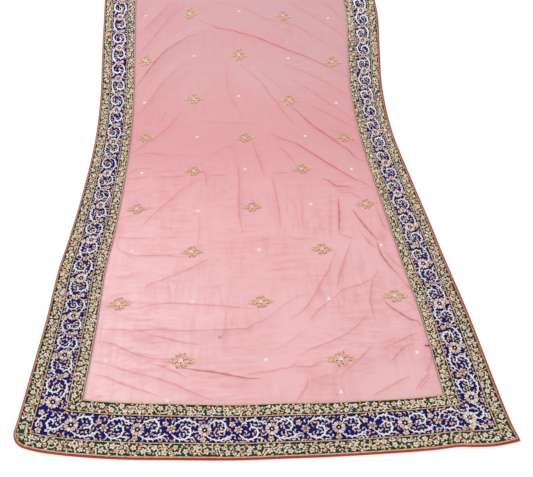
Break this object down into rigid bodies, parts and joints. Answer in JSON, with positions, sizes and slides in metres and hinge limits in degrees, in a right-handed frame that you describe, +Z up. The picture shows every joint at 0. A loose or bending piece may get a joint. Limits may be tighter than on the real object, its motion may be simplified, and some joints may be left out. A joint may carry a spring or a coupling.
{
  "type": "dupatta stole",
  "caption": "Long sheer net stole laid flat, drawn in slightly at mid length, with a wide ribbon border, couched cords and a bound edge.",
  "frame": {"origin": "middle of the laid stole on the surface that it lies on", "axes": "+Z up, +Y along the length away from the near hem, +X across"},
  "size_m": [0.9169, 2.2354, 0.0078],
  "materials": {
    "pink_net": "sheer salmon pink net with a fine weave, dull",
    "green_velvet": "deep bottle green velvet under dense peach gold embroidery",
    "blue_velvet": "deep royal blue velvet under scrolling metal thread embroidery",
    "gold_cord": "antique gold metal thread, softly shiny",
    "silver_thread": "silver white metal thread and sequins, shiny",
    "red_satin": "red satin binding, faint sheen"
  },
  "bodies": {
    "root": {"net_panel": "pink_net", "green_outer_near": "green_velvet", "green_outer_far": "green_velvet", "green_outer_left": "green_velvet", "green_outer_right": "green_velvet", "blue_near": "blue_velvet", "blue_far": "blue_velvet", "blue_left": "blue_velvet", "blue_right": "blue_velvet", "green_inner_near": "green_velvet", "green_inner_far": "green_velvet", "green_inner_left": "green_velvet", "green_inner_right": "green_velvet", "cord_edge": "gold_cord", "cord_outer": "gold_cord", "cord_inner": "gold_cord", "cord_net": "gold_cord", "red_piping": "red_satin"}
  },
  "joints": []
}
